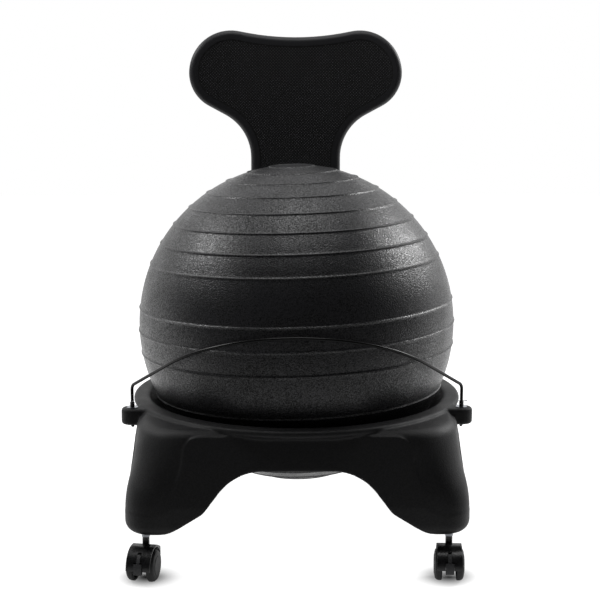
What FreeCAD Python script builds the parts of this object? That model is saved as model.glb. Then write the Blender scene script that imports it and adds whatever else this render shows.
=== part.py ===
import FreeCAD, Part
import math
import os

# Balance ball chair: an exercise ball seated in a moulded four-legged frame on twin-wheel casters,
# held down by a bent wire bar and with a T-shaped back support behind it.
# Millimetres. Z is up, the floor is z = 0, the sitter faces -Y and the ball centre is over the origin.

turned_chord = 3.5            # roundings of turned parts are made of straight chords about this long
cut_reach = 100.0             # flat outlines that shape the back support reach this far either way

# Ball
ball_d = 520.0                # inflated diameter
ball_wall = 1.3               # skin thickness at its thinnest
ball_inner_bands = 24         # the hidden inner wall is made of this many level bands
ridge_height = 1.0            # moulded grip ridges that run round the ball
ridge_width = 2.4
ridge_step_deg = 8.19         # latitude from one ridge to the next
ridge_rows = (1, 3, 4, 5, 6, 7, 8, 9, 10)   # rows that carry a ridge above and below the middle one
ball_lean_deg = 1.77          # the moulded poles stand this far out of plumb, towards -X
valve_d = 18.0                # rubber filling valve at the lower pole
valve_depth = 16.0
plug_d = 16.0                 # push-in stopper of the valve
plug_head = 2.2
plug_shank_d = 8.0
plug_shank = 12.0

# Frame body
foot_z = 75.0                 # underside of the feet above the floor
body_half = 265.0             # half width of the body at the feet
body_top_in = 15.5            # at the top the body is this much narrower on each side, for the mould
body_corner_r = 43.0
draft_start_z = 122.0         # the sides lean in above this
body_top_z = 236.0
foot_edge_r = 18.0
shoulder_edge_r = 8.0
wall = 4.0                    # double-walled hollow moulding
bevel_share = 0.6             # bevel inside a rounded edge, as a share of its radius
inner_step = 4                # the hollow follows every fourth level of the corner columns

# Rounded corner columns, set back from the flat side panels
column_levels = (             # height, setback from the body's half width, corner radius
    (104.0, 0.4, 43.0),
    (120.0, 0.7, 44.0),
    (132.0, 1.7, 46.0),
    (140.0, 2.8, 48.0),
    (150.0, 4.7, 51.0),
    (160.0, 7.0, 55.0),
    (170.0, 9.2, 59.0),
    (180.0, 10.9, 64.0),
    (190.0, 12.2, 69.0),
    (200.0, 13.1, 74.0),
    (215.0, 14.7, 80.0),
    (226.0, 16.8, 84.0),
    (232.0, 20.6, 84.0),
    (236.0, 26.5, 82.0),
    (237.6, 34.0, 80.0),
)
shoulder_z = 170.0            # levels above this also move down for the inner wall
panel_end_x = 169.0           # upright edge of the flat panel at its top corner
panel_end_z = 229.7
panel_end_r = 26.0
panel_knee_x = 176.5          # below this the edge runs outwards to the foot
panel_knee_z = 180.0
panel_knee_r = 80.0
panel_toe_x = 197.0
panel_toe_z = 119.0
panel_toe_r = 12.0
foot_band_x = 219.0           # from here the edge runs level over the foot
foot_band_z = 109.5
foot_band_r = 14.0

# Arches between the legs
arch_top_z = 176.3
arch_shoulder_x = 94.4
arch_shoulder_r = 85.0
arch_knee_x = 143.4
arch_knee_z = 111.7
arch_knee_r = 30.0
arch_toe_x = 202.6
arch_toe_r = 60.0             # the arch runs out level into the underside of the foot
arch_runout = 18.0
arch_skim = 0.02

# Ring and bowl that the ball sits in
ring_r = 271.0                # outside of the rolled lip
ring_top_z = 242.5
ring_depth = 12.0
ring_root_r = 243.0
ring_edge_r = 5.0
bowl_r = 246.0                # clear opening at the lip
lip_inner_r = 3.6             # rounding of the inner edge
seat_r = 194.0                # circle that the ball bears on
seat_z = 184.5
seat_half_width = 10.0
seat_gap = 0.2                # play between the ball's ridges and the bowl
hole_flare_r = 216.0          # the hole under the ball opens out between the legs
hole_neck_z = 152.0
hole_flare_z = 122.0

# Ears and retaining bar
ear_in = 1.5                  # the wire stands this far inside the body's side
ear_ring_gap = 14.5           # and at least this far outside the ring
ear_y = -110.0
ear_r = 17.5
ear_top_z = 240.0
ear_height = 26.0
ear_edge_r = 4.0
bar_d = 5.0
bar_hole_gap = 0.15
bar_ball_gap = 9.0            # from the ball to the bar in front
bar_top_rise = 24.0           # the bar's crown stands this far above the ball's middle
bar_bow_extra = 6.0           # the bow is this much wider than the ball's own section
bar_corner_z = 276.0          # the bar turns inwards here
bar_bend_r = 11.0
bar_tail = 5.0                # the bar's end below its lower pin
bar_chamfer = 1.0
washer_d = 18.0
washer_t = 1.0
bushing_d = 7.2
bushing_h = 7.6
pin_d = 1.8
pin_length = 17.0
pin_shift = 1.5               # the split pins stand out further on the eye's side
pin_eye_r = 2.7
pin_eye_wire_d = 1.6
pin_gap = 0.15

# Receiver for the back support, at the rear of the frame
back_front_y = 264.0
back_thickness = 24.0
tongue_gap = 0.25
receiver_wall = 4.4
receiver_side = 13.0
receiver_floor_z = 182.0
receiver_top_z = 246.0
receiver_edge_r = 9.0
receiver_rim_r = 3.0
receiver_front_y = 236.0

# Back support: a T with two round lobes, drawn with lines and arcs
back_bottom_z = 190.0         # foot of the tongue in the receiver
back_neck_half = 81.3
back_neck_r = 88.0            # hollow corner from the neck to the lobes
back_under_deg = 28.6         # slope of the lobes' underside
back_lobe_half = 192.0        # half width over the two lobes
back_lobe_z = 765.0           # height of their widest point
back_lobe_low_r = 66.5
back_lobe_top_r = 76.0
back_top_deg = 10.8           # the top edge falls this much towards the middle
back_dip_z = 829.0            # lowest point of the top edge
back_dip_r = 480.0
back_edge_r = 9.0
back_flat_half = 84.0         # the panel is flat out to here and then bends forward
back_bend_r = 520.0
back_bend_deg = 16.0
back_wall = 3.4
back_solid_z = 262.0          # below this the tongue is solid
field_border = 16.0           # smooth border round the patterned front
field_depth = 0.8
field_bottom_z = 330.0
field_corner_r = 6.0
bolt_d = 6.0
bolt_x = 50.0
bolt_z = 216.0
bolt_head_d = 10.0
bolt_head_h = 6.0
bolt_head_edge = 0.8
bolt_socket_d = 5.8
bolt_socket_depth = 3.4
bolt_length = 43.0
bolt_washer_d = 14.0
bolt_washer_t = 1.4
insert_d = 9.0
insert_length = 13.0

# Casters
stem_side_in = 31.7           # the four stems stand this far inside the body's sides
stem_front_in = 37.5          # and this far inside its front and rear
caster_trail = 14.0           # axle ahead of the stem
wheel_d = 50.0
wheel_width = 11.9
wheel_gap = 22.3              # between the two wheels of one caster
wheel_rim = 4.2
wheel_edge_r = 6.5            # large rounding of the outer edge
wheel_disc = 3.2
wheel_hub_d = 12.4
wheel_hub_proud = 0.6         # the hubs reach this far towards the hood
wheel_ribs = 6
wheel_rib_t = 1.5
wheel_rib_start = 2.0         # the ribs stand back from the open side
wheel_cover_r = 15.0          # round cover line on the outer face
axle_d = 6.0
axle_end_gap = 0.9            # from the axle's end to the blind bore in the wheel
run_gap = 0.05                # radial play of turning fits
hood_width = 38.0
hood_web = 20.4               # middle part between the wheels
hood_gap = 3.2                # between the tread and the inside of the hood
hood_wall = 1.8
hood_fall_start = 4.0         # the top is level to here, then falls behind the stem
hood_rear = 13.0              # behind the stem
hood_rear_top_z = 47.0
hood_front_z = 24.0           # lower edge in front
hood_cheek = 2.9
keel_depth = 8.5              # the middle reaches this far below the axle
keel_half = 10.0              # half length of its level underside
keel_front = 24.0
neck_d = 10.9
neck_top_z = 65.0
neck_root_z = 46.0
journal_d = 7.0
journal_length = 24.0
journal_head_d = 10.0
journal_head_h = 2.4
journal_head_gap = 0.4
collar_d = 12.6
collar_edge_r = 0.8
play = 0.2                    # end play of the turning parts
stem_d = 10.9
stem_length = 38.0
stem_tip_r = 1.5
socket_flange_d = 20.0
socket_flange_t = 1.5
socket_wall = 1.75
socket_gap = 0.05
groove_from_tip = 8.0
groove_width = 3.0
groove_depth = 0.9
ring_grip = 0.45              # the spring ring stands this far out of its groove
ring_slit = 2.0

# Brake lever of the two front casters, in degrees round the axle from level
lever_pin_deg = 32.0
lever_pin_r = 21.5
lever_pin_d = 3.0
lever_rib_t = 5.4
lever_rib_low_deg = -2.0
lever_rib_top_deg = 48.0
lever_slot_extra_deg = 7.5    # the slot stays open above the rib
lever_tab_width = 12.6
lever_tab_low_deg = -11.0
lever_tab_top_deg = 20.0
lever_tab_gap_deg = 4.0
lever_tab_proud = 2.2
lever_rib_proud = 0.8
lever_depth = 12.5
lever_shoe_low_deg = 10.0
lever_shoe_top_deg = 22.0
lever_shoe_width = 31.0
lever_shoe_t = 1.4
lever_side_gap = 0.3
lever_open_gap = 1.3          # shoe to the treads with the brake off
window_deg = 4.0              # room for the shoe round its ends
window_depth = 0.6

# Each caster: side in x, side in y, turn about its stem in degrees, brake
casters = {
    "front_left": (-1, -1, -12.0, True),
    "front_right": (1, -1, -3.5, True),
    "rear_left": (-1, 1, 196.0, False),
    "rear_right": (1, 1, 180.0, False),
}

ball_r = ball_d / 2
seat_ball_r = ball_r + ridge_height + seat_gap
ball_z = seat_z + math.sqrt(seat_ball_r ** 2 - seat_r ** 2)
body_top_half = body_half - body_top_in
ear_x = max(body_half - ear_in, math.sqrt((ring_r + ear_ring_gap) ** 2 - ear_y ** 2))
ear_bottom_z = ear_top_z - ear_height
upper_pin_z = ear_top_z + washer_t + bushing_h + pin_gap + pin_d / 2
lower_pin_z = ear_bottom_z - pin_gap - pin_d / 2
back_rear_y = back_front_y + back_thickness
receiver_rear_y = back_rear_y + tongue_gap + receiver_wall
stem_x = body_half - stem_side_in
stem_y = body_half - stem_front_in
wheel_r = wheel_d / 2
wheel_inner = wheel_gap / 2
wheel_outer = wheel_inner + wheel_width
hood_inner_r = wheel_r + hood_gap
hood_outer_r = hood_inner_r + hood_wall
hood_top_z = wheel_r + hood_outer_r
journal_bottom_z = neck_top_z + play - journal_length
UP = FreeCAD.Vector(0, 0, 1)


def xy(z):
    """Place a flat outline level at height z."""
    return lambda a, b: FreeCAD.Vector(a, b, z)


def xz(y):
    """Place a flat outline upright, facing the front, at depth y."""
    return lambda a, b: FreeCAD.Vector(a, y, b)


def yz(x):
    """Place a flat outline upright, facing the side, at x."""
    return lambda a, b: FreeCAD.Vector(x, a, b)


def caster_plane(x):
    """Side view of a caster: the first value runs forward from the stem, the second up."""
    return lambda a, b: FreeCAD.Vector(x, -a, b)


def outline(corners, place, chord=0):
    """Closed wire through corners (a, b, radius), each rounded by its radius.

    With a chord length, the roundings are made of straight chords about that long."""
    count = len(corners)
    turns = []
    for i, (a, b, radius) in enumerate(corners):
        here = FreeCAD.Vector(a, b, 0)
        if radius <= 0:
            turns.append([here])
            continue
        before = FreeCAD.Vector(*corners[i - 1][:2], 0) - here
        after = FreeCAD.Vector(*corners[(i + 1) % count][:2], 0) - here
        half = before.getAngle(after) / 2
        before.normalize()
        after.normalize()
        middle = before + after
        middle.normalize()
        centre = here + middle * (radius / math.sin(half))
        start = here + before * (radius / math.tan(half)) - centre
        end = here + after * (radius / math.tan(half)) - centre
        sweep = math.pi - 2 * half
        parts = math.ceil(radius * sweep / chord) if chord else 2
        points = []
        for k in range(parts + 1):
            share = k / parts
            ray = start * math.sin((1 - share) * sweep) + end * math.sin(share * sweep)
            points.append(centre + ray * (1 / math.sin(sweep)))
        turns.append(points)
    edges = []
    for i, points in enumerate(turns):
        placed = [place(p.x, p.y) for p in points]
        if len(points) > 1 and not chord:
            edges.append(Part.Arc(*placed).toShape())
        else:
            edges += [Part.LineSegment(p, q).toShape() for p, q in zip(placed, placed[1:])]
        following = turns[(i + 1) % count][0]
        if points[-1].distanceToPoint(following) > 1e-6:
            edges.append(Part.LineSegment(placed[-1], place(following.x, following.y)).toShape())
    return Part.Wire(edges)


def prism(corners, place, run):
    """Solid made by moving a rounded outline along the vector run."""
    return Part.Face(outline(corners, place)).extrude(run)


def turned(corners):
    """Solid of revolution about Z of an outline given as (radius, z, rounding), rounded in chords."""
    face = Part.Face(outline(corners, xz(0), turned_chord))
    return face.revolve(FreeCAD.Vector(0, 0, 0), UP, 360)


def rod(radius, length, base, direction=UP):
    return Part.makeCylinder(radius, length, base, direction)


def box(x0, x1, y0, y1, z0, z1):
    return Part.makeBox(x1 - x0, y1 - y0, z1 - z0, FreeCAD.Vector(x0, y0, z0))


def mirrored(corners):
    """Complete a right-hand half outline with its mirror image; a corner on the middle stays single."""
    left = [(-a, b, r) for a, b, r in reversed(corners) if a > 0]
    return corners + left


def rounded_square(half, radius, z):
    corners = [(half, -half, radius), (half, half, radius), (-half, half, radius), (-half, -half, radius)]
    return outline(corners, xy(z))


def edges_at(shape, test):
    return [e for e in shape.Edges if test(e)]


# The frame body, and the hollow inside it: every function takes the inset from the outer skin.

def panel_block(inset):
    """Square body with leaning sides and rounded edges, which are bevels inside."""
    low = foot_z + inset
    sections = [
        rounded_square(body_half - inset, body_corner_r - inset, low),
        rounded_square(body_half - inset, body_corner_r - inset, draft_start_z),
        rounded_square(body_top_half - inset, body_corner_r - inset, body_top_z - inset),
    ]
    block = Part.makeLoft(sections, True, True)
    top = edges_at(block, lambda e: e.BoundBox.ZMin > body_top_z - inset - 0.01)
    block = block.makeChamfer(shoulder_edge_r, top) if inset else block.makeFillet(shoulder_edge_r, top)
    bottom = edges_at(block, lambda e: e.BoundBox.ZMax < low + 0.01)
    if inset:
        return block.makeChamfer((foot_edge_r - inset) * bevel_share, bottom)
    return block.makeFillet(foot_edge_r, bottom)


def columns(inset):
    """Rounded corner columns with their sloping shoulders, drawn with fewer levels inside."""
    levels = column_levels[:-1:inner_step] + column_levels[-1:] if inset else column_levels
    sections = []
    for z, setback, r in levels:
        drop = inset if z > shoulder_z else 0
        sections.append(rounded_square(body_half - setback - inset, r - inset, z - drop))
    return Part.makeLoft(sections, True, bool(inset))


def above_panel(inset, place, run):
    """Everything outside the edge line of the flat panels, seen square on to one side."""
    reach = body_half + 60
    half = [
        (reach, body_top_z + 40, 0),
        (reach, foot_band_z - inset, 0),
        (foot_band_x - inset, foot_band_z - inset, foot_band_r),
        (panel_toe_x - inset, panel_toe_z - inset, panel_toe_r),
        (panel_knee_x - inset, panel_knee_z, panel_knee_r),
        (panel_end_x - inset, panel_end_z - inset, panel_end_r),
    ]
    return prism(mirrored(half), place, run)


def arch(inset, place, run):
    """Opening between two legs, running out level into the feet."""
    low = foot_z + inset - arch_skim
    half = [
        (arch_toe_x + arch_runout + inset, foot_z - 20, 0),
        (arch_toe_x + arch_runout + inset, low, 0),
        (arch_toe_x + inset * 0.3, low, arch_toe_r),
        (arch_knee_x + inset * 0.7, arch_knee_z + inset * 0.7, arch_knee_r),
        (arch_shoulder_x + inset, arch_top_z + inset, arch_shoulder_r),
    ]
    return prism(mirrored(half), place, run)


def bowl(inset):
    """Space taken out for the ball: rounded lip, bearing zone and open hole."""
    r = seat_ball_r + inset
    inner = seat_r - seat_half_width + inset
    outer = seat_r + seat_half_width + inset
    inner_z = ball_z - math.sqrt(r ** 2 - inner ** 2)
    outer_z = ball_z - math.sqrt(r ** 2 - outer ** 2)
    middle = seat_r + inset
    middle_z = ball_z - math.sqrt(r ** 2 - middle ** 2)
    lip_low = FreeCAD.Vector(bowl_r + inset - lip_inner_r * 0.7, 0, ring_top_z - lip_inner_r)
    lip_mid = FreeCAD.Vector(bowl_r + inset - lip_inner_r * 0.1, 0, ring_top_z - lip_inner_r * 0.45)
    lip_top = FreeCAD.Vector(bowl_r + inset + lip_inner_r, 0, ring_top_z + 0.1)
    path = [
        FreeCAD.Vector(0, 0, foot_z - 20),
        FreeCAD.Vector(hole_flare_r + inset, 0, foot_z - 20),
        FreeCAD.Vector(hole_flare_r + inset, 0, hole_flare_z),
        FreeCAD.Vector(inner, 0, hole_neck_z),
        FreeCAD.Vector(inner, 0, inner_z),
    ]
    edges = [Part.LineSegment(p, q).toShape() for p, q in zip(path, path[1:])]
    outer_point = FreeCAD.Vector(outer, 0, outer_z)
    edges.append(Part.Arc(path[-1], FreeCAD.Vector(middle, 0, middle_z), outer_point).toShape())
    edges.append(Part.LineSegment(outer_point, lip_low).toShape())
    edges.append(Part.Arc(lip_low, lip_mid, lip_top).toShape())
    path = [
        lip_top,
        FreeCAD.Vector(lip_top.x, 0, ball_z),
        FreeCAD.Vector(0, 0, ball_z),
        FreeCAD.Vector(0, 0, foot_z - 20),
    ]
    edges += [Part.LineSegment(p, q).toShape() for p, q in zip(path, path[1:])]
    return Part.Face(Part.Wire(edges)).revolve(FreeCAD.Vector(0, 0, 0), UP, 360)


def body_form(inset):
    """Body with its recessed corners, arches and bowl."""
    reach = 2 * (body_half + 80)
    start = -reach / 2
    recess = above_panel(inset, xz(start), FreeCAD.Vector(0, reach, 0))
    recess = recess.common(above_panel(inset, yz(start), FreeCAD.Vector(reach, 0, 0)))
    recess = recess.cut(columns(inset))
    body = panel_block(inset).cut(recess)
    body = body.cut(arch(inset, xz(start), FreeCAD.Vector(0, reach, 0)))
    body = body.cut(arch(inset, yz(start), FreeCAD.Vector(reach, 0, 0)))
    return body


def make_base_frame():
    ring_low = ring_top_z - ring_depth
    ring = turned([
        (ring_root_r, ring_low - 4, 0),
        (ring_r - 12, ring_low - 4, 0),
        (ring_r, ring_low + 2, ring_edge_r - 0.5),
        (ring_r, ring_top_z - 0.8, ring_edge_r),
        (ring_root_r + 12, ring_top_z, 0),
        (ring_root_r, ring_top_z, 0),
    ])
    pocket_half = back_neck_half + tongue_gap
    receiver_half = pocket_half + receiver_side
    receiver = prism([
        (-receiver_half, receiver_front_y, 0),
        (receiver_half, receiver_front_y, 0),
        (receiver_half, receiver_rear_y, receiver_edge_r),
        (-receiver_half, receiver_rear_y, receiver_edge_r),
    ], xy(receiver_floor_z), FreeCAD.Vector(0, 0, receiver_top_z - receiver_floor_z))
    rim = edges_at(receiver, lambda e: e.BoundBox.ZLength < 0.01 and e.BoundBox.YMax > receiver_front_y + 1)
    receiver = receiver.makeFillet(receiver_rim_r, rim)
    frame = body_form(0).fuse([ring, receiver])
    ear_root = ear_x - 30
    for side in (-1, 1):
        ear = prism([
            (ear_root, ear_y - ear_r, 0),
            (ear_x + ear_r, ear_y - ear_r, ear_r - 0.5),
            (ear_x + ear_r, ear_y + ear_r, ear_r - 0.5),
            (ear_root, ear_y + ear_r, 0),
        ], xy(ear_bottom_z), FreeCAD.Vector(0, 0, ear_height))
        rim = edges_at(ear, lambda e: e.BoundBox.ZLength < 0.01 and e.BoundBox.XMax > ear_root + 1)
        ear = ear.makeFillet(ear_edge_r, rim)
        if side < 0:
            ear = ear.mirror(FreeCAD.Vector(0, 0, 0), FreeCAD.Vector(1, 0, 0))
        frame = frame.fuse(ear)
    frame = frame.cut(bowl(0))

    socket_r = stem_d / 2 + socket_gap + socket_wall
    depth = stem_length + socket_wall + play + 1
    forward = FreeCAD.Vector(0, -1, 0)
    cuts = []
    keep = []
    for sx, sy, _, _ in casters.values():
        centre = FreeCAD.Vector(sx * stem_x, sy * stem_y, foot_z - 1)
        cuts.append(rod(socket_r, depth, centre))
        keep.append(rod(socket_r + wall, depth + wall, centre))
    cuts.append(box(-pocket_half, pocket_half, back_front_y - tongue_gap, back_rear_y + tongue_gap,
                    back_bottom_z - tongue_gap, receiver_top_z + 1))
    keep.append(box(-receiver_half, receiver_half, receiver_front_y - wall, receiver_rear_y,
                    receiver_floor_z - wall, receiver_top_z))
    for side in (-1, 1):
        low = FreeCAD.Vector(side * ear_x, ear_y, ear_bottom_z - 1)
        cuts.append(rod(bar_d / 2 + bar_hole_gap, ear_height + 2, low))
        rear = FreeCAD.Vector(side * bolt_x, receiver_rear_y + 1, bolt_z)
        cuts.append(rod(bolt_d / 2, receiver_wall + 3, rear, forward))
        seat = FreeCAD.Vector(side * bolt_x, back_front_y - tongue_gap + 1, bolt_z)
        cuts.append(rod(insert_d / 2, insert_length + 1, seat, forward))
    hollow = body_form(wall).cut(bowl(wall)).cut(keep)
    return frame.cut(cuts).cut(hollow)


# Ball

def make_ball():
    """Ball skin with its ridges, the valve in the lower pole and the stopper."""
    def at(radius, degrees):
        angle = math.radians(degrees)
        return FreeCAD.Vector(radius * math.cos(angle), 0, radius * math.sin(angle))

    half_ridge = math.degrees(ridge_width / 2 / ball_r)
    rows = sorted({0} | {k for k in ridge_rows} | {-k for k in ridge_rows})
    edges = []
    last = -90.0
    for k in rows:
        middle = k * ridge_step_deg
        low = middle - half_ridge
        high = middle + half_ridge
        edges.append(Part.Arc(at(ball_r, last), at(ball_r, (last + low) / 2), at(ball_r, low)).toShape())
        crest = at(ball_r + ridge_height, middle)
        edges.append(Part.LineSegment(at(ball_r, low), crest).toShape())
        edges.append(Part.LineSegment(crest, at(ball_r, high)).toShape())
        last = high
    edges.append(Part.Arc(at(ball_r, last), at(ball_r, (last + 90) / 2), at(ball_r, 90)).toShape())
    edges.append(Part.LineSegment(at(ball_r, 90), at(ball_r, -90)).toShape())
    skin = Part.Face(Part.Wire(edges)).revolve(FreeCAD.Vector(0, 0, 0), UP, 360)
    inner = [at(ball_r - ball_wall, 180 * k / ball_inner_bands - 90) for k in range(ball_inner_bands + 1)]
    inner_wire = Part.makePolygon(inner + inner[:1])
    skin = skin.cut(Part.Face(inner_wire).revolve(FreeCAD.Vector(0, 0, 0), UP, 360))
    mouth = -ball_r
    skin = skin.cut(rod(valve_d / 2, valve_depth + 5, FreeCAD.Vector(0, 0, mouth - 5)))

    recess = plug_head + 0.4
    valve = turned([
        (plug_shank_d / 2, mouth + recess, 0),
        (plug_d / 2 + 0.3, mouth + recess, 0),
        (plug_d / 2 + 0.3, mouth, 0),
        (valve_d / 2, mouth + 0.2, 0),
        (valve_d / 2, mouth + valve_depth, 1.5),
        (plug_shank_d / 2, mouth + valve_depth, 0),
    ])
    plug = turned([
        (0, mouth + recess - plug_head, 0),
        (plug_d / 2, mouth + recess - plug_head, 0.7),
        (plug_d / 2, mouth + recess, 0),
        (plug_shank_d / 2, mouth + recess, 0),
        (plug_shank_d / 2, mouth + recess + plug_shank, 1.2),
        (0, mouth + recess + plug_shank, 0),
    ])
    pieces = []
    for piece in (skin, valve, plug):
        piece.rotate(FreeCAD.Vector(0, 0, 0), FreeCAD.Vector(0, 1, 0), -ball_lean_deg)
        piece.translate(FreeCAD.Vector(0, 0, ball_z))
        pieces.append(piece)
    return pieces


# Retaining bar

def bar_route():
    """Corner, tangent point and crown of the bar's right half: the bow lies in one leaning plane."""
    corner = FreeCAD.Vector(ear_x, ear_y, bar_corner_z)
    stand = ball_r + bar_ball_gap + bar_d / 2
    crown_y = -math.sqrt(stand ** 2 - bar_top_rise ** 2)
    crown = FreeCAD.Vector(0, crown_y, ball_z + bar_top_rise)
    foot = FreeCAD.Vector(0, ear_y, bar_corner_z)
    rise = (crown - foot)
    height = rise.Length
    rise.normalize()
    to_ball = FreeCAD.Vector(0, 0, ball_z) - foot
    section_mid = to_ball.dot(rise)
    radius = height - section_mid + bar_bow_extra
    middle = height - radius
    away = math.hypot(ear_x, middle)
    angle = math.atan2(-middle, ear_x) + math.acos(radius / away)
    centre = foot + rise * middle
    across = FreeCAD.Vector(1, 0, 0)
    tangent = centre + across * (radius * math.cos(angle)) + rise * (radius * math.sin(angle))
    return corner, tangent, crown


def make_bar():
    corner, tangent, crown = bar_route()
    end = FreeCAD.Vector(ear_x, ear_y, lower_pin_z - bar_tail)
    along = tangent - corner
    turn = math.pi - FreeCAD.Vector(0, 0, -1).getAngle(along)
    run = bar_bend_r * math.tan(turn / 2)
    along.normalize()
    bend_start = corner - UP * run
    bend_end = corner + along * run
    middle = along - UP
    middle.normalize()
    bend_mid = corner + middle * (bar_bend_r / math.cos(turn / 2) - bar_bend_r)

    def other(p):
        return FreeCAD.Vector(-p.x, p.y, p.z)

    path = Part.Wire([
        Part.LineSegment(end, bend_start).toShape(),
        Part.Arc(bend_start, bend_mid, bend_end).toShape(),
        Part.LineSegment(bend_end, tangent).toShape(),
        Part.Arc(tangent, crown, other(tangent)).toShape(),
        Part.LineSegment(other(tangent), other(bend_end)).toShape(),
        Part.Arc(other(bend_end), other(bend_mid), other(bend_start)).toShape(),
        Part.LineSegment(other(bend_start), other(end)).toShape(),
    ])
    section = Part.Wire(Part.makeCircle(bar_d / 2, end, UP))
    bar = path.makePipeShell([section], True, False)
    bar = bar.cut([pin_hole(side, z) for side in (-1, 1) for z in (lower_pin_z, upper_pin_z)])
    ends = edges_at(bar, lambda e: e.BoundBox.ZMax < end.z + 0.01)
    return bar.makeChamfer(bar_chamfer, ends)


def pin_direction(side, z):
    """The left-hand upper pin lies front to back, the others across."""
    if side < 0 and z > ear_top_z:
        return FreeCAD.Vector(0, 1, 0)
    return FreeCAD.Vector(side, 0, 0)


def pin_hole(side, z):
    direction = pin_direction(side, z)
    start = FreeCAD.Vector(side * ear_x, ear_y, z) - direction * bar_d
    return rod(pin_d / 2, 2 * bar_d, start, direction)


def make_pin(side, z):
    """Split pin through the bar: a straight shank with its wire eye."""
    direction = pin_direction(side, z)
    centre = FreeCAD.Vector(side * ear_x, ear_y, z)
    ring = pin_eye_r - pin_eye_wire_d / 2
    eye_centre = centre + direction * (pin_length / 2 + pin_shift - pin_eye_r)
    start = centre - direction * (pin_length / 2 - pin_shift)
    shank = rod(pin_d / 2, start.distanceToPoint(eye_centre) - ring, start, direction)
    half = pin_eye_wire_d / 2
    bevel = half * bevel_share
    eye = turned([
        (ring - half, -half, bevel),
        (ring + half, -half, bevel),
        (ring + half, half, bevel),
        (ring - half, half, bevel),
    ])
    eye.translate(eye_centre)
    return shank.fuse(eye)


def make_bar_fittings():
    washers = []
    bushings = []
    uppers = []
    lowers = []
    for side in (-1, 1):
        base = FreeCAD.Vector(side * ear_x, ear_y, ear_top_z)
        hole = rod(bar_d / 2 + bar_hole_gap, 30, base - UP * 5)
        washers.append(rod(washer_d / 2, washer_t, base).cut(hole))
        bushings.append(rod(bushing_d / 2, bushing_h, base + UP * washer_t).cut(hole))
        uppers.append(make_pin(side, upper_pin_z))
        lowers.append(make_pin(side, lower_pin_z))
    return washers, bushings, uppers, lowers


# Back support

def back_outline(inset, bottom):
    """T shape: straight neck, hollow corners, two round lobes and a dip between them."""
    top = math.radians(back_top_deg)
    under = math.radians(back_under_deg)
    neck = back_neck_half - inset
    lobe = back_lobe_half - inset
    middle_z = back_dip_z - back_dip_r * (1 / math.cos(top) - 1) - inset / math.cos(top)
    under_z = back_lobe_z - back_lobe_low_r * math.tan(math.pi / 4 - under / 2)
    under_z += (inset / math.cos(under)) - inset * math.tan(under)
    half = [
        (neck, bottom, field_corner_r if inset > 0 else 0),
        (neck, under_z - (lobe - neck) * math.tan(under), back_neck_r + inset),
        (lobe, under_z, back_lobe_low_r - inset),
        (lobe, middle_z + lobe * math.tan(top), back_lobe_top_r - inset),
        (0, middle_z, back_dip_r + inset),
    ]
    return mirrored(half)


def back_slab(front_inset, rear_inset):
    """Space between the front and rear faces: flat in the middle, bent forward at both lobes."""
    def bend(y, side):
        radius = back_bend_r + y - back_front_y
        points = []
        for part in (0, 0.5, 1):
            angle = math.radians(back_bend_deg * part)
            x = side * (back_flat_half + radius * math.sin(angle))
            points.append(FreeCAD.Vector(x, y - radius * (1 - math.cos(angle)), 0))
        return points

    front_right, front_left = [bend(back_front_y + front_inset, side) for side in (1, -1)]
    rear_right, rear_left = [bend(back_rear_y - rear_inset, side) for side in (1, -1)]
    rear_right.reverse()
    front_left.reverse()
    loop = [front_right, rear_right, rear_left, front_left]
    edges = []
    for i, points in enumerate(loop):
        edges.append(Part.Arc(*points).toShape())
        edges.append(Part.LineSegment(points[2], loop[(i + 1) % 4][0]).toShape())
    return Part.Face(Part.Wire(edges)).extrude(FreeCAD.Vector(0, 0, ball_z + back_dip_z))


def make_backrest():
    start = back_front_y - cut_reach
    run = FreeCAD.Vector(0, 2 * cut_reach, 0)
    panel = prism(back_outline(0, back_bottom_z), xz(start), run).common(back_slab(0, 0))
    panel = panel.removeSplitter()

    def is_rim(edge):
        across = edge.BoundBox.YLength < back_thickness - 4
        lies_flat = edge.BoundBox.XLength > 0.01 or edge.BoundBox.ZLength > 0.01
        low = edge.BoundBox.ZMax < back_bottom_z + 0.01
        middle = edge.valueAt((edge.FirstParameter + edge.LastParameter) / 2)
        seam = abs(abs(middle.x) - back_flat_half) < 0.01 and edge.BoundBox.ZLength > 1
        return across and lies_flat and not low and not seam

    panel = panel.makeFillet(back_edge_r, edges_at(panel, is_rim))
    field = prism(back_outline(field_border, field_bottom_z), xz(start), run)
    panel = panel.cut(field.cut(back_slab(field_depth, 0)))
    hollow = prism(back_outline(back_edge_r, back_solid_z), xz(start), run)
    panel = panel.cut(hollow.common(back_slab(back_wall, back_wall)))
    for side in (-1, 1):
        rear = FreeCAD.Vector(side * bolt_x, back_rear_y + 1, bolt_z)
        panel = panel.cut(rod(bolt_d / 2, back_thickness + 2, rear, FreeCAD.Vector(0, -1, 0)))
    return panel


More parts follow.
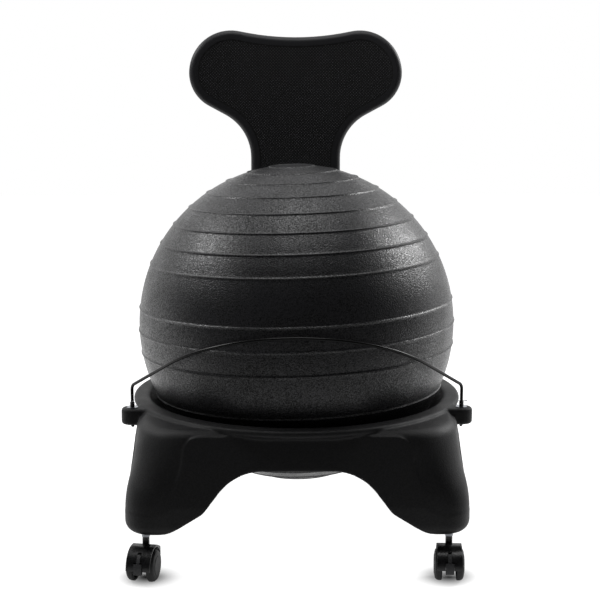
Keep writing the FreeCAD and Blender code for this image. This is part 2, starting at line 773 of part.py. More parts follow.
def make_back_fasteners():
    forward = FreeCAD.Vector(0, -1, 0)
    bolts = []
    washers = []
    inserts = []
    for side in (-1, 1):
        on_face = FreeCAD.Vector(side * bolt_x, receiver_rear_y, bolt_z)
        washer = rod(bolt_washer_d / 2, bolt_washer_t, on_face + FreeCAD.Vector(0, bolt_washer_t, 0), forward)
        washers.append(washer.cut(rod(bolt_d / 2, 10, on_face + FreeCAD.Vector(0, 5, 0), forward)))
        under_head = on_face + FreeCAD.Vector(0, bolt_washer_t, 0)
        top = under_head + FreeCAD.Vector(0, bolt_head_h, 0)
        bolt = rod(bolt_head_d / 2, bolt_head_h, top, forward)
        rim = edges_at(bolt, lambda e: e.BoundBox.YMin > top.y - 0.01)
        bolt = bolt.makeChamfer(bolt_head_edge, rim)
        bolt = bolt.fuse(rod(bolt_d / 2, bolt_length, under_head, forward))
        corners = []
        for i in range(6):
            angle = math.radians(60 * i)
            r = bolt_socket_d / 2
            corners.append((side * bolt_x + r * math.cos(angle), bolt_z + r * math.sin(angle), 0))
        socket = prism(corners, xz(top.y + 1), FreeCAD.Vector(0, -bolt_socket_depth - 1, 0))
        bolts.append(bolt.cut(socket))
        seat = FreeCAD.Vector(side * bolt_x, back_front_y - tongue_gap, bolt_z)
        insert = rod(insert_d / 2, insert_length, seat, forward)
        inserts.append(insert.cut(rod(bolt_d / 2, insert_length, seat, forward)))
    return bolts, washers, inserts


# Casters, made at the origin with the stem on Z and the brake side towards -Y

def sector(inner, outer, low_deg, high_deg, half_width):
    """Block between two radii round the axle and two angles, centred on the caster."""
    points = []
    for radius, degrees in ((inner, low_deg), (outer, low_deg), (outer, high_deg), (inner, high_deg)):
        angle = math.radians(degrees)
        points.append((caster_trail + radius * math.cos(angle), wheel_r + radius * math.sin(angle)))
    middle = math.radians((low_deg + high_deg) / 2)
    place = caster_plane(-half_width)

    def arc_mid(radius):
        return place(caster_trail + radius * math.cos(middle), wheel_r + radius * math.sin(middle))

    p = [place(*q) for q in points]
    wire = Part.Wire([
        Part.LineSegment(p[0], p[1]).toShape(),
        Part.Arc(p[1], arc_mid(outer), p[2]).toShape(),
        Part.LineSegment(p[2], p[3]).toShape(),
        Part.Arc(p[3], arc_mid(inner), p[0]).toShape(),
    ])
    return Part.Face(wire).extrude(FreeCAD.Vector(2 * half_width, 0, 0))


def axle_rod(radius, half_width):
    start = FreeCAD.Vector(-half_width, -caster_trail, wheel_r)
    return rod(radius, 2 * half_width, start, FreeCAD.Vector(1, 0, 0))


def lever_pin_point():
    angle = math.radians(lever_pin_deg)
    return (caster_trail + lever_pin_r * math.cos(angle), wheel_r + lever_pin_r * math.sin(angle))


def pin_rod(radius, half_width):
    forward, height = lever_pin_point()
    start = FreeCAD.Vector(-half_width, -forward, height)
    return rod(radius, 2 * half_width, start, FreeCAD.Vector(1, 0, 0))


def make_hood(brake):
    """Moulded hood: round over the wheels in front, falling away behind the stem."""
    web = hood_web / 2
    side = hood_width / 2
    front = caster_trail + hood_outer_r
    shape = axle_rod(hood_outer_r, side)
    shape = shape.common(box(-side, side, -front, -caster_trail, hood_front_z, hood_top_z + 1))
    tail = prism([
        (caster_trail, wheel_r, 0),
        (caster_trail, hood_top_z, 0),
        (hood_fall_start, hood_top_z, 8),
        (-hood_rear, hood_rear_top_z, 5),
        (-hood_rear, wheel_r, 0),
    ], caster_plane(-side), FreeCAD.Vector(hood_width, 0, 0))
    shape = shape.fuse(tail)
    for start in (-side - 1, web):
        well_start = FreeCAD.Vector(start, -caster_trail, wheel_r)
        shape = shape.cut(rod(hood_inner_r, side - web + 1, well_start, FreeCAD.Vector(1, 0, 0)))
    keel_z = wheel_r - keel_depth
    keel = prism([
        (caster_trail + keel_front, wheel_r + 2, 0),
        (caster_trail + keel_front, hood_front_z, 0),
        (caster_trail + keel_half, keel_z, 6),
        (caster_trail - keel_half, keel_z, 6),
        (1 - hood_rear, wheel_r - 1, 0),
        (1 - hood_rear, wheel_r + 2, 0),
    ], caster_plane(-web), FreeCAD.Vector(hood_web, 0, 0))
    neck = rod(neck_d / 2, neck_top_z - neck_root_z, FreeCAD.Vector(0, 0, neck_root_z))
    shape = shape.fuse([keel, neck])

    inside = web - hood_cheek
    pocket = axle_rod(hood_outer_r - hood_cheek, inside)
    pocket = pocket.common(box(-inside, inside, -front, -(neck_d / 2 + 1.8), 0, hood_top_z))
    shape = shape.cut(pocket.cut(axle_rod(wheel_hub_d / 2, inside)))
    journal_r = journal_d / 2 + run_gap
    head_r = journal_head_d / 2 + journal_head_gap
    shape = shape.cut(rod(journal_r, neck_top_z, FreeCAD.Vector(0, 0, journal_bottom_z)))
    shape = shape.cut(rod(head_r, journal_bottom_z + play, FreeCAD.Vector(0, 0, 0)))
    shape = shape.cut(axle_rod(axle_d / 2, side))
    if brake:
        rib = lever_rib_t / 2 + lever_side_gap
        tab = lever_tab_width / 2 + lever_side_gap
        reach = hood_outer_r + 3
        slot_low = lever_tab_low_deg - 20
        rib_inner = hood_outer_r - lever_depth
        shape = shape.cut(sector(rib_inner, reach, slot_low, lever_rib_top_deg + lever_slot_extra_deg, rib))
        shape = shape.cut(sector(wheel_r, reach, slot_low, lever_tab_top_deg + lever_tab_gap_deg, tab))
        shape = shape.cut(sector(wheel_r - window_depth, hood_inner_r,
                                 lever_shoe_low_deg - window_deg, lever_shoe_top_deg + window_deg, web + 1))
        shape = shape.cut(pin_rod(lever_pin_d / 2, web))
    return shape


def make_stem():
    """Steel stem: journal with its riveted head below, collar, and a grooved pin for the socket."""
    collar_z = neck_top_z + play
    flange_z = foot_z - socket_flange_t
    tip = foot_z + stem_length
    groove_z = tip - groove_from_tip
    head_r = journal_head_d / 2
    neck_r = journal_d / 2
    r = stem_d / 2
    return turned([
        (0, journal_bottom_z - journal_head_h, 0),
        (head_r, journal_bottom_z - journal_head_h, collar_edge_r),
        (head_r, journal_bottom_z, 0),
        (neck_r, journal_bottom_z, 0),
        (neck_r, collar_z, 0),
        (collar_d / 2, collar_z, collar_edge_r),
        (collar_d / 2, flange_z, collar_edge_r),
        (r, flange_z, 0),
        (r, groove_z - groove_width, 0),
        (r - groove_depth, groove_z - groove_width, 0),
        (r - groove_depth, groove_z, 0),
        (r, groove_z, 0),
        (r, tip, stem_tip_r),
        (0, tip, 0),
    ])


def make_socket():
    """Blind plastic sleeve pressed into the leg, with an inner groove for the spring ring."""
    bore = stem_d / 2 + socket_gap
    outer = bore + socket_wall
    tip = foot_z + stem_length
    groove_z = tip - groove_from_tip + play
    groove_low = groove_z - groove_width - 2 * play
    groove_r = bore + ring_grip
    return turned([
        (bore, foot_z - socket_flange_t, 0),
        (socket_flange_d / 2, foot_z - socket_flange_t, 0.6),
        (socket_flange_d / 2, foot_z, 0),
        (outer, foot_z, 0),
        (outer, tip + play + socket_wall, 0.8),
        (0, tip + play + socket_wall, 0),
        (0, tip + play, 0),
        (bore, tip + play, 0),
        (bore, groove_z, 0),
        (groove_r, groove_z, 0),
        (groove_r, groove_low, 0),
        (bore, groove_low, 0),
    ])


def make_grip_ring():
    """Slit spring ring in the stem's groove."""
    top = foot_z + stem_length - groove_from_tip - play
    low = top - groove_width + 2 * play
    inner = stem_d / 2 - groove_depth + run_gap
    outer = stem_d / 2 + ring_grip
    ring = turned([(inner, low, 0), (outer, low, 0.4), (outer, top, 0.4), (inner, top, 0)])
    return ring.cut(box(0, outer + 1, -ring_slit / 2, ring_slit / 2, low - 1, top + 1))


def make_wheel(side):
    """One wheel, its ribbed side towards the hood; side is -1 or 1 along the axle."""
    hub_end = wheel_inner - wheel_hub_proud
    disc = wheel_outer - wheel_disc
    blind = disc + 0.4
    bore = axle_d / 2 + run_gap
    hub = wheel_hub_d / 2
    rim = wheel_r - wheel_rim
    wheel = turned([
        (bore, hub_end, 0),
        (hub, hub_end, 0),
        (hub, disc, 0),
        (rim, disc, 0),
        (rim, wheel_inner, 0),
        (wheel_r, wheel_inner, 1.0),
        (wheel_r, wheel_outer - 1.2, wheel_edge_r),
        (wheel_cover_r + 0.6, wheel_outer - 0.6, 0),
        (wheel_cover_r, wheel_outer, 0),
        (0, wheel_outer, 0),
        (0, blind, 0),
        (bore, blind, 0),
    ])
    for i in range(wheel_ribs):
        rib = box(hub - 0.5, rim + 0.5, -wheel_rib_t / 2, wheel_rib_t / 2,
                  wheel_inner + wheel_rib_start, disc + 0.5)
        rib.rotate(FreeCAD.Vector(0, 0, 0), UP, 360 / wheel_ribs * i)
        wheel = wheel.fuse(rib)
    wheel.rotate(FreeCAD.Vector(0, 0, 0), FreeCAD.Vector(0, 1, 0), 90 * side)
    wheel.translate(FreeCAD.Vector(0, -caster_trail, wheel_r))
    return wheel


def make_lever():
    """Foot lever: a narrow rib on the pin, a wide tab to press and a shoe across both treads."""
    shoe_inner = wheel_r + lever_open_gap
    rib_outer = hood_outer_r + lever_rib_proud
    tab_outer = hood_outer_r + lever_tab_proud
    rib = sector(rib_outer - lever_depth, rib_outer, lever_rib_low_deg, lever_rib_top_deg, lever_rib_t / 2)
    tab = sector(shoe_inner, tab_outer, lever_tab_low_deg, lever_tab_top_deg, lever_tab_width / 2)
    shoe = sector(shoe_inner, shoe_inner + lever_shoe_t,
                  lever_shoe_low_deg, lever_shoe_top_deg, lever_shoe_width / 2)
    lever = rib.fuse([tab, shoe])
    return lever.cut(pin_rod(lever_pin_d / 2 + run_gap, hood_width))


def place_caster(shape, name):
    sx, sy, turn, _ = casters[name]
    placed = shape.copy()
    placed.rotate(FreeCAD.Vector(0, 0, 0), UP, turn)
    placed.translate(FreeCAD.Vector(sx * stem_x, sy * stem_y, 0))
    return placed


def write(name, shapes):
    solids = []
    for shape in shapes if isinstance(shapes, list) else [shapes]:
        solids += shape.Solids
    body = solids[0] if len(solids) == 1 else Part.makeCompound(solids)
    if not body.isValid():
        print("not valid:", name)
    body.exportStep(os.path.join("parts", name + ".step"))
    print(name, len(solids), round(sum(s.Volume for s in solids) / 1000, 1), "cm3")


def main():
    os.makedirs("parts", exist_ok=True)
    write("base_frame", make_base_frame())

    skin, valve, plug = make_ball()
    write("ball_shell", skin)
    write("ball_valve", valve)
    write("ball_plug", plug)

    write("retaining_bar", make_bar())
    washers, bushings, uppers, lowers = make_bar_fittings()
    write("bar_washers", washers)
    write("bar_bushings", bushings)
    write("bar_upper_pins", uppers)
    write("bar_lower_pins", lowers)

    write("backrest_panel", make_backrest())
    bolts, washers, inserts = make_back_fasteners()
    write("backrest_bolts", bolts)
    write("backrest_washers", washers)
    write("backrest_inserts", inserts)

    stem = make_stem()
    socket = make_socket()
    grip_ring = make_grip_ring()
    axle = axle_rod(axle_d / 2, wheel_outer - wheel_disc - axle_end_gap)
    hoods = {brake: make_hood(brake) for brake in (True, False)}
    wheels = {side: make_wheel(side) for side in (-1, 1)}
    lever = make_lever()
    lever_pin = pin_rod(lever_pin_d / 2, hood_web / 2)
    write("grip_rings", [place_caster(grip_ring, name) for name in casters])
    for name, (sx, sy, turn, brake) in casters.items():
        write("caster_socket_" + name, place_caster(socket, name))
        write("caster_stem_" + name, place_caster(stem, name))
        write("caster_hood_" + name, place_caster(hoods[brake], name))
        write("caster_axle_" + name, place_caster(axle, name))
        outboard = sx if math.cos(math.radians(turn)) > 0 else -sx
        write("wheel_" + name + "_outboard", place_caster(wheels[outboard], name))
        write("wheel_" + name + "_inboard", place_caster(wheels[-outboard], name))
        if brake:
            write("brake_lever_" + name, place_caster(lever, name))
            write("brake_pin_" + name, place_caster(lever_pin, name))


main()
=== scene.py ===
import math

import bmesh
import bpy
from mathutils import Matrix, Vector


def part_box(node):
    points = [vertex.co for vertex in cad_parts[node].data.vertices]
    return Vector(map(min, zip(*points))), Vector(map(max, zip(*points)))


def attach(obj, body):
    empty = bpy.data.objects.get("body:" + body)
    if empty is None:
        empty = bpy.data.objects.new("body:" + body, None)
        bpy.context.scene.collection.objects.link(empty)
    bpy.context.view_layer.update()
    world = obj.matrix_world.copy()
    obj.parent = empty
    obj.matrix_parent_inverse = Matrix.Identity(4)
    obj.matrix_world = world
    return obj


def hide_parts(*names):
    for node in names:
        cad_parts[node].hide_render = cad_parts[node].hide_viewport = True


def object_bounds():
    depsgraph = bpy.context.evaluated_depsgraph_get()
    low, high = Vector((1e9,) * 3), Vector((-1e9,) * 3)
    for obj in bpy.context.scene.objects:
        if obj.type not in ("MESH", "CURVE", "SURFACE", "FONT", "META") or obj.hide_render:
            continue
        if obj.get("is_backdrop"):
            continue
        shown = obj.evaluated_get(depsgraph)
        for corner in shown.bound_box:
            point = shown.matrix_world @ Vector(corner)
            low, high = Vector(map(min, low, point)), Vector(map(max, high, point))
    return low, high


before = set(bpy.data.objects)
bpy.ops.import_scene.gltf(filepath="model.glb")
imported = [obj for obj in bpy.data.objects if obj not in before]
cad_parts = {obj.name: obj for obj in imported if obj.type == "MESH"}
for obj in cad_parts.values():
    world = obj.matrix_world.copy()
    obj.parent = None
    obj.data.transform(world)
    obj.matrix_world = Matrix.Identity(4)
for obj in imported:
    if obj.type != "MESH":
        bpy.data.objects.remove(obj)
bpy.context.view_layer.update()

scene = bpy.context.scene


# ---------------------------------------------------------------------------------------------
# Frame: one blow-moulded polyethylene body, a rolled ring on four legs, with a socket at the rear
# for the back support and two ears for the wire. Blow moulding leaves every edge soft, so the CAD
# body is remeshed as a closed skin and relaxed until its creases are rounded like the real ones.

FRAME_CELL = 0.0019            # mesh size of the remeshed skin
FRAME_RELAX = 3                # passes that round the edges, about 1.5 mm here
FRAME_KEEP = 0.4               # share of the fine mesh that is kept, which loses no form
FRAME_PEEL = 0.0024            # spacing of the blasted mould's peel, drawn coarser than it is
FRAME_WAVE = 0.045             # spacing of the slow waves where the wall has sunk a little
CORNER_JOIN = 1e-6             # corners of a CAD node's loose triangles that lie this close are one


def linear(code):
    """Linear colour of an sRGB hex value."""
    parts = [int(code[i:i + 2], 16) / 255 for i in (1, 3, 5)]
    return [p / 12.92 if p <= 0.04045 else ((p + 0.055) / 1.055) ** 2.4 for p in parts] + [1.0]


def add(tree, kind, settings=None, inputs=None, to=None):
    """Add a node with its settings. An input is a plain value, or a socket to link from, and the
    node's first output can be linked on to a socket."""
    made = tree.nodes.new(kind)
    for name, value in (settings or {}).items():
        setattr(made, name, value)
    for key, value in (inputs or {}).items():
        if isinstance(value, bpy.types.NodeSocket):
            tree.links.new(value, made.inputs[key])
        else:
            made.inputs[key].default_value = value
    if to is not None:
        tree.links.new(made.outputs[0], to)
    return made


def new_material(name, **constants):
    """Material with its shader's plain values; returns it, its tree, shader and coordinates."""
    material = bpy.data.materials.new(name)
    material.use_nodes = True
    tree = material.node_tree
    shader = tree.nodes["Principled BSDF"].inputs
    for key, value in constants.items():
        shader[key.replace("_", " ")].default_value = value
    return material, tree, shader, add(tree, "ShaderNodeTexCoord").outputs["Object"]


def merged_copy(node, name):
    """Copy of a CAD node with its loose triangles joined."""
    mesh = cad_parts[node].data.copy()
    mesh.name = name
    work = bmesh.new()
    work.from_mesh(mesh)
    bmesh.ops.remove_doubles(work, verts=work.verts, dist=CORNER_JOIN)
    work.to_mesh(mesh)
    work.free()
    mesh.materials.clear()
    normals = mesh.attributes.get("custom_normal")
    if normals:
        mesh.attributes.remove(normals)
    piece = bpy.data.objects.new(name, mesh)
    scene.collection.objects.link(piece)
    return piece


def baked(piece):
    """Replace a piece's modifiers by their plain result."""
    bpy.context.view_layer.update()
    graph = bpy.context.evaluated_depsgraph_get()
    mesh = bpy.data.meshes.new_from_object(piece.evaluated_get(graph))
    piece.modifiers.clear()
    if piece.type == "MESH":
        piece.data = mesh
        return piece
    made = bpy.data.objects.new(piece.name + "_mesh", mesh)
    scene.collection.objects.link(made)
    bpy.data.objects.remove(piece)
    return made


# Polyethylene: dull black with a low waxy gloss, softened by the fine peel of the blasted mould.
polyethylene, tree, shader, place = new_material(
    "blow_moulded_polyethylene", IOR=1.48, Specular_IOR_Level=0.3)
peel = add(tree, "ShaderNodeTexNoise", None, {
    "Vector": place, "Scale": 1 / FRAME_PEEL, "Detail": 3.0, "Roughness": 0.6}).outputs["Fac"]
wave = add(tree, "ShaderNodeTexNoise", None, {
    "Vector": place, "Scale": 1 / FRAME_WAVE, "Detail": 1.0}).outputs["Fac"]
slow = add(tree, "ShaderNodeBump", None, {"Height": wave, "Distance": 0.0009, "Strength": 0.5})
add(tree, "ShaderNodeBump", None, {
    "Height": peel, "Distance": 0.0005, "Strength": 0.8, "Normal": slow.outputs["Normal"]},
    shader["Normal"])
tones = add(tree, "ShaderNodeValToRGB", None, {"Fac": peel},
            shader["Base Color"]).color_ramp.elements
tones[0].position, tones[1].position = 0.3, 0.7
tones[0].color, tones[1].color = linear("#1a1a1b"), linear("#272728")
add(tree, "ShaderNodeMapRange", None, {
    "Value": wave, "From Min": 0.3, "From Max": 0.7, "To Min": 0.48, "To Max": 0.60},
    shader["Roughness"])

# The outer skin alone is kept: it is the one of the CAD body's closed skins that reaches furthest.
body = merged_copy("base_frame", "frame_moulding")
work = bmesh.new()
work.from_mesh(body.data)
work.verts.ensure_lookup_table()
seen = set()
skins = []
for start in work.verts:
    if start in seen:
        continue
    group = [start]
    seen.add(start)
    for vert in group:
        for edge in vert.link_edges:
            other = edge.other_vert(vert)
            if other not in seen:
                seen.add(other)
                group.append(other)
    skins.append(group)
skins.sort(key=lambda g: max(v.co.x for v in g))
bmesh.ops.delete(work, geom=[v for g in skins[:-1] for v in g], context="VERTS")
work.to_mesh(body.data)
work.free()
remesh = body.modifiers.new("skin", "REMESH")
remesh.mode = "VOXEL"
remesh.voxel_size = FRAME_CELL
relax = body.modifiers.new("relax", "SMOOTH")
relax.factor = 0.5
relax.iterations = FRAME_RELAX
thin = body.modifiers.new("thin", "DECIMATE")
thin.ratio = FRAME_KEEP
baked(body)
body.data.shade_smooth()
body.data.materials.clear()
body.data.materials.append(polyethylene)
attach(body, "base")
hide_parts("base_frame")


# ---------------------------------------------------------------------------------------------
# Ball: an inflated PVC skin with raised grip ridges round it, row by row, and a plain band above
# and below the middle. It is rotation moulded, so it is one skin with a small mouth at the lower
# pole, which the rubber filling valve and its stopper close.

BALL_RADIUS = 0.260
BALL_SKIN = 0.0016
BALL_LEAN = math.radians(1.77)  # the poles stand a little out of plumb, towards -X
RIDGE_HEIGHT = 0.0015
RIDGE_WIDTH = 0.0026
RIDGE_STEP = math.radians(8.19)
PLAIN_ROW = 2                  # the second row each way carries no ridge
LAST_ROW = 10
MOUTH_RADIUS = 0.009
BALL_COLUMNS = 225             # mesh points round the ball
INNER_ROWS = 24                # mesh rows of the inner wall, which nobody sees
ROWS_PER_STEP = 12             # mesh rows from ridge to ridge
RIDGE_CROWDING = 2.5           # how strongly the rows crowd towards each ridge
BALL_GRAIN = 0.0020            # leather-like grain; the real one is finer still, too fine to show
BALL_WARP = 0.004              # spacing of small shifts that keep the grain from looking regular
BALL_WARP_BY = 0.001
BALL_CLOUD = 0.045             # duller and shinier patches of the skin
PLUG_SWIRL = 0.0012            # flow marks on the stopper
SEAM_JOIN = 1e-5               # mesh points that meet at the seam and the poles are joined


def new_tree(name, inputs):
    """Geometry Nodes tree with a geometry output and named inputs; returns it and their sockets."""
    tree = bpy.data.node_groups.new(name, "GeometryNodeTree")
    tree.interface.new_socket(name="Geometry", in_out="OUTPUT", socket_type="NodeSocketGeometry")
    for title, kind in inputs.items():
        tree.interface.new_socket(name=title, in_out="INPUT", socket_type="NodeSocket" + kind)
    return tree, add(tree, "NodeGroupInput").outputs


def close_tree(tree, geometry, material):
    """End a tree in real geometry that wears its material."""
    single = add(tree, "GeometryNodeRealizeInstances", None, {"Geometry": geometry})
    painted = add(tree, "GeometryNodeSetMaterial", None, {
        "Geometry": single.outputs[0], "Material": material})
    add(tree, "NodeGroupOutput", None, {"Geometry": painted.outputs[0]})


def use_tree(piece, tree, values):
    """Put a tree on a piece, set its inputs by identifier and turn the result into a plain mesh."""
    modifier = piece.modifiers.new(tree.name, "NODES")
    modifier.node_group = tree
    for item in tree.interface.items_tree:
        if item.item_type == "SOCKET" and item.in_out == "INPUT" and item.name in values:
            modifier[item.identifier] = values[item.name]
    return baked(piece)


def calc(operation, a, b=0.0, c=0.0):
    """Arithmetic on sockets and numbers, in the tree that is being built."""
    return add(tree, "ShaderNodeMath", {"operation": operation}, {0: a, 1: b, 2: c}).outputs[0]


# PVC: charcoal with a leathery grain that breaks its soft sheen into small flecks, in patches that
# are a little duller and shinier, as on a skin that has been pumped up and handled.
pvc, tree, shader, place = new_material("rotomoulded_pvc", IOR=1.53)
warp = add(tree, "ShaderNodeTexNoise", None, {
    "Vector": place, "Scale": 1 / BALL_WARP, "Detail": 2.0})
bent = add(tree, "ShaderNodeVectorMath", {"operation": "MULTIPLY_ADD"}, {
    0: warp.outputs["Color"], 1: (BALL_WARP_BY,) * 3, 2: place})
grain = add(tree, "ShaderNodeTexVoronoi", {"feature": "SMOOTH_F1"}, {
    "Vector": bent.outputs["Vector"], "Scale": 1 / BALL_GRAIN, "Smoothness": 0.4})
cloud = add(tree, "ShaderNodeTexNoise", None, {
    "Vector": place, "Scale": 1 / BALL_CLOUD, "Detail": 4.0, "Roughness": 0.6}).outputs["Fac"]
speck = add(tree, "ShaderNodeTexNoise", None, {
    "Vector": place, "Scale": 1 / BALL_GRAIN, "Detail": 2.0}).outputs["Fac"]
mottle = calc("MULTIPLY_ADD", cloud, 0.5, speck)
tones = add(tree, "ShaderNodeValToRGB", None, {"Fac": mottle},
            shader["Base Color"]).color_ramp.elements
tones[0].position, tones[1].position = 0.6, 0.9
tones[0].color, tones[1].color = linear("#0c0c0d"), linear("#2e2e31")
add(tree, "ShaderNodeMapRange", None, {
    "Value": mottle, "From Min": 0.6, "From Max": 0.9, "To Min": 0.47, "To Max": 0.27},
    shader["Roughness"])
add(tree, "ShaderNodeMapRange", None, {
    "Value": speck, "From Min": 0.36, "From Max": 0.64, "To Min": 0.24, "To Max": 0.8},
    shader["Specular IOR Level"])
add(tree, "ShaderNodeBump", {"invert": True}, {
    "Height": grain.outputs["Distance"], "Distance": 0.0005, "Strength": 0.8}, shader["Normal"])

tree, given = new_tree("ridged ball", {
    "Radius": "Float", "Skin": "Float", "Lean": "Float", "Ridge Height": "Float",
    "Ridge Width": "Float", "Ridge Step": "Float", "Plain Row": "Float", "Last Row": "Float",
    "Mouth Radius": "Float", "Centre": "Vector", "Columns": "Int", "Inner Rows": "Int",
    "Rows Per Step": "Int", "Crowding": "Float", "Material": "Material"})

# The grid's rows run up the inner wall, over the rim of the mouth and up the outside to the top.
quarter_turn = math.pi / 2
cells = calc("CEIL", calc("DIVIDE", quarter_turn, given["Ridge Step"]))
outer_rows = calc("MULTIPLY", calc("MULTIPLY", cells, 2.0), given["Rows Per Step"])
rows = calc("ADD", outer_rows, given["Inner Rows"])
grid = add(tree, "GeometryNodeMeshGrid", None, {
    "Size X": 1.0, "Size Y": 1.0,
    "Vertices X": given["Columns"], "Vertices Y": calc("ADD", rows, 1.0)})
position = add(tree, "GeometryNodeInputPosition").outputs[0]
spot = add(tree, "ShaderNodeSeparateXYZ", None, {0: position}).outputs
row = calc("MULTIPLY", calc("ADD", spot["Y"], 0.5), rows)
mouth = calc("ARCSINE", calc("DIVIDE", given["Mouth Radius"], given["Radius"]))
mouth = calc("SUBTRACT", mouth, quarter_turn)

# Outside: the rows crowd towards each ridge, so that a narrow ridge gets a smooth section.
outer_row = calc("DIVIDE", calc("SUBTRACT", row, given["Inner Rows"]), given["Rows Per Step"])
cell = calc("SUBTRACT", outer_row, cells)
ridge = calc("ROUND", cell)
off = calc("SUBTRACT", cell, ridge)
crowded = calc("POWER", calc("MULTIPLY", calc("ABSOLUTE", off), 2.0), given["Crowding"])
crowded = calc("MULTIPLY", calc("MULTIPLY", crowded, 0.5), calc("SIGN", off))
outer_angle = calc("MULTIPLY", calc("ADD", ridge, crowded), given["Ridge Step"])
outer_angle = calc("MINIMUM", calc("MAXIMUM", outer_angle, mouth), quarter_turn)
from_ridge = calc("MULTIPLY", calc("ABSOLUTE", crowded), given["Ridge Step"])
from_ridge = calc("MULTIPLY", from_ridge, given["Radius"])
across = calc("DIVIDE", from_ridge, calc("MULTIPLY", given["Ridge Width"], 0.5))
swell = calc("MAXIMUM", calc("SUBTRACT", 1.0, calc("MULTIPLY", across, across)), 0.0)
number = calc("ABSOLUTE", ridge)
before_last = calc("LESS_THAN", number, calc("ADD", given["Last Row"], 0.5))
from_plain = calc("ABSOLUTE", calc("SUBTRACT", number, given["Plain Row"]))
is_ridge = calc("MULTIPLY", before_last, calc("GREATER_THAN", from_plain, 0.5))
raised = calc("MULTIPLY", calc("MULTIPLY", swell, given["Ridge Height"]), is_ridge)
outer_radius = calc("ADD", given["Radius"], raised)

# Inside: a plain wall from the top down to the mouth.
share = calc("DIVIDE", row, given["Inner Rows"])
inner_angle = calc("SUBTRACT", quarter_turn,
                   calc("MULTIPLY", share, calc("SUBTRACT", quarter_turn, mouth)))
inner_radius = calc("SUBTRACT", given["Radius"], given["Skin"])
inside = calc("LESS_THAN", row, calc("SUBTRACT", given["Inner Rows"], 0.5))
angle = calc("ADD", outer_angle,
             calc("MULTIPLY", inside, calc("SUBTRACT", inner_angle, outer_angle)))
radius = calc("ADD", outer_radius,
              calc("MULTIPLY", inside, calc("SUBTRACT", inner_radius, outer_radius)))

around = calc("MULTIPLY", spot["X"], 2 * math.pi)
level = calc("MULTIPLY", radius, calc("COSINE", angle))
point = add(tree, "ShaderNodeCombineXYZ", None, {
    "X": calc("MULTIPLY", level, calc("COSINE", around)),
    "Y": calc("MULTIPLY", level, calc("SINE", around)),
    "Z": calc("MULTIPLY", radius, calc("SINE", angle))})
leaned = add(tree, "ShaderNodeVectorRotate", {"rotation_type": "Y_AXIS"}, {
    "Vector": point.outputs[0], "Angle": calc("MULTIPLY", given["Lean"], -1.0)})
centred = add(tree, "ShaderNodeVectorMath", {"operation": "ADD"}, {
    0: leaned.outputs[0], 1: given["Centre"]})
moved = add(tree, "GeometryNodeSetPosition", None, {
    "Geometry": grid.outputs["Mesh"], "Position": centred.outputs[0]})
closed = add(tree, "GeometryNodeMergeByDistance", None, {
    "Geometry": moved.outputs[0], "Distance": SEAM_JOIN})
smooth = add(tree, "GeometryNodeSetShadeSmooth", None, {"Geometry": closed.outputs[0]})
close_tree(tree, smooth.outputs[0], given["Material"])

shell_low, shell_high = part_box("ball_shell")
ball_centre = Vector((0, 0, (shell_low.z + shell_high.z) / 2))
ball = bpy.data.objects.new("ball_skin", bpy.data.meshes.new("ball_skin"))
scene.collection.objects.link(ball)
ball = use_tree(ball, tree, {
    "Radius": BALL_RADIUS, "Skin": BALL_SKIN, "Lean": BALL_LEAN, "Ridge Height": RIDGE_HEIGHT,
    "Ridge Width": RIDGE_WIDTH, "Ridge Step": RIDGE_STEP, "Plain Row": float(PLAIN_ROW),
    "Last Row": float(LAST_ROW), "Mouth Radius": MOUTH_RADIUS, "Centre": ball_centre,
    "Columns": BALL_COLUMNS, "Inner Rows": INNER_ROWS, "Rows Per Step": ROWS_PER_STEP,
    "Crowding": RIDGE_CROWDING, "Material": pvc})
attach(ball, "ball")
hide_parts("ball_shell")

# The valve is soft rubber like the skin; the stopper is a harder, smoother plug.
stopper, tree, shader, place = new_material(
    "injection_moulded_plug", IOR=1.49, Base_Color=linear("#18181a"), Roughness=0.3)
swirl = add(tree, "ShaderNodeTexNoise", None, {
    "Vector": place, "Scale": 1 / PLUG_SWIRL, "Detail": 2.0}).outputs["Fac"]
add(tree, "ShaderNodeBump", None, {"Height": swirl, "Distance": 0.00004, "Strength": 0.5},
    shader["Normal"])


def dress(material, *nodes):
    """Give carried-over CAD nodes a material."""
    for name in nodes:
        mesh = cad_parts[name].data
        for i in range(len(mesh.materials)):
            mesh.materials[i] = material
        if not mesh.materials:
            mesh.materials.append(material)


dress(pvc, "ball_valve")
dress(stopper, "ball_plug")


# ---------------------------------------------------------------------------------------------
# Retaining bar: 5 mm steel wire bent in one piece and enamelled gloss black. Its ends drop through
# the frame's ears, where zinc-plated washers, nylon bushings and split pins hold them.

ENAMEL_PEEL = 0.0025           # the slow orange peel of sprayed enamel
ZINC_CRYSTAL = 0.0018
WAVE_LENGTH = math.pi / 10     # a wave texture of scale 1 repeats after this length
BUSHING_RING = 0.0008 * WAVE_LENGTH  # turning marks of the bushings, 0.25 mm apart
PIN_WIRE = 0.00042             # radius of each of the two halves of a split pin
PIN_SIDES = 12
PIN_EYE = 0.0019               # radius of the eye's bend
PIN_EYE_SWEEP = math.radians(158)  # the eye runs this far round, each way from its crown
PIN_EYE_STEPS = 10
PIN_LEG_GAP = 0.00048          # the legs lie this far off the middle where they run through the bar
PIN_TIP_GAP = 0.00104          # and this far at their tips, which are bent apart a little
PIN_BEND = 0.004               # length of the bent-apart tips
PIN_SHORT = 0.0018             # one leg is shorter by this
PIN_END = 0.0006               # the longer one stops this far inside the CAD pin's end

